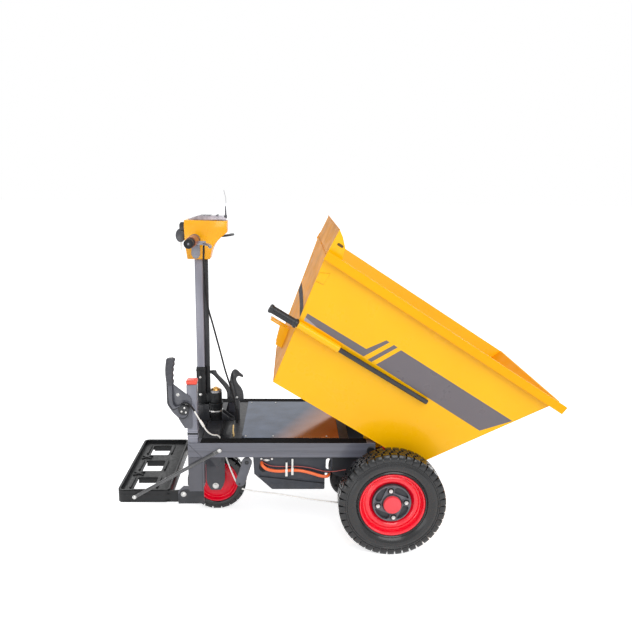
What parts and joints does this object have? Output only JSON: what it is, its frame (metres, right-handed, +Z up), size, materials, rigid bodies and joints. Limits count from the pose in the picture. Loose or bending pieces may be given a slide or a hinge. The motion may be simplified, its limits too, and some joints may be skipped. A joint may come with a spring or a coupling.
{
  "type": "electric cargo tricycle",
  "caption": "Small ride-behind electric dump tricycle: tipping yellow bucket over two driven wheels, one steered wheel under a tall handlebar column, and a fold-out rider's step.",
  "frame": {"origin": "middle of the footprint, on the floor", "axes": "+X is the direction of travel, from the rider's step to the bucket's lip; +Y the left side; +Z up"},
  "size_m": [1.775, 0.856, 1.416],
  "materials": {
    "body_yellow": "gloss",
    "frame_grey": "satin",
    "column_grey": "satin",
    "black_metal": "satin",
    "cast_black": "satin",
    "rim_red": "gloss",
    "tyre": "matte",
    "grip_rubber": "matte",
    "cowl_yellow": "gloss",
    "panel_grey": "matte",
    "black_plastic": "matte",
    "cap_orange": "matte",
    "steel": "brushed",
    "brass": "satin",
    "conduit": "matte",
    "wire_white": "matte"
  },
  "bodies": {
    "chassis": {"axle_hangers": "frame_grey", "axle_tubes": "black_metal", "battery_box": "frame_grey", "battery_conduit": "conduit", "brake_bracket": "frame_grey", "brake_cables": "wire_white", "brake_grip": "grip_rubber", "brake_lever": "black_metal", "brake_rocker": "cast_black", "control_cable_low": "black_plastic", "cross_head": "frame_grey", "cross_tubes": "frame_grey", "deck_plate": "frame_grey", "gear_case": "cast_black", "head_tube": "black_metal", "latch": "black_metal", "motor": "cast_black", "pivot_pins": "steel", "post": "frame_grey", "post_cap": "cap_orange", "rail_left": "frame_grey", "rail_right": "frame_grey", "rear_legs": "frame_grey", "step_bolts": "steel", "step_pan": "black_metal", "step_struts": "frame_grey"},
    "steering": {"fork": "frame_grey", "stem_arm": "black_metal", "stem_nut": "brass", "column": "column_grey", "cowl": "cowl_yellow", "dash_panel": "panel_grey", "handlebar": "black_metal", "hand_grips": "grip_rubber", "key_lock": "black_plastic", "whip_wire": "wire_white", "steer_axle_bolt": "steel", "bar_levers": "black_metal", "control_cable_top": "black_plastic"},
    "steer_wheel": {"tyre_steer": "tyre", "rim_steer": "rim_red"},
    "wheel_left": {"tyre_left": "tyre", "rim_left": "rim_red", "hub_left": "cast_black"},
    "wheel_right": {"tyre_right": "tyre", "rim_right": "rim_red", "hub_right": "cast_black"},
    "bucket": {"bucket_floor": "body_yellow", "bucket_rear": "body_yellow", "bucket_ramp": "body_yellow", "bucket_side_left": "body_yellow", "bucket_side_right": "body_yellow", "bucket_rims": "body_yellow", "bucket_lugs": "body_yellow", "lever_guide": "body_yellow", "lever_rod": "black_metal", "lever_grip": "grip_rubber", "bucket_catch": "body_yellow"}
  },
  "joints": [
    {"name": "steer", "type": "hinge", "parent": "chassis", "child": "steering", "pos_m": [-0.51, 0, 0.43], "axis": [0, 0, 1], "range_deg": [-45, 45]},
    {"name": "steer_roll", "type": "hinge", "parent": "steering", "child": "steer_wheel", "pos_m": [-0.51, 0, 0.132], "axis": [0, 1, 0], "continuous": true},
    {"name": "roll_left", "type": "hinge", "parent": "chassis", "child": "wheel_left", "pos_m": [0.223, 0.379, 0.213], "axis": [0, 1, 0], "continuous": true},
    {"name": "roll_right", "type": "hinge", "parent": "chassis", "child": "wheel_right", "pos_m": [0.223, -0.379, 0.213], "axis": [0, 1, 0], "continuous": true},
    {"name": "bucket_tip", "type": "hinge", "parent": "chassis", "child": "bucket", "pos_m": [0.147, 0, 0.3875], "axis": [0, 1, 0], "range_deg": [-31.3, 31.5]}
  ]
}
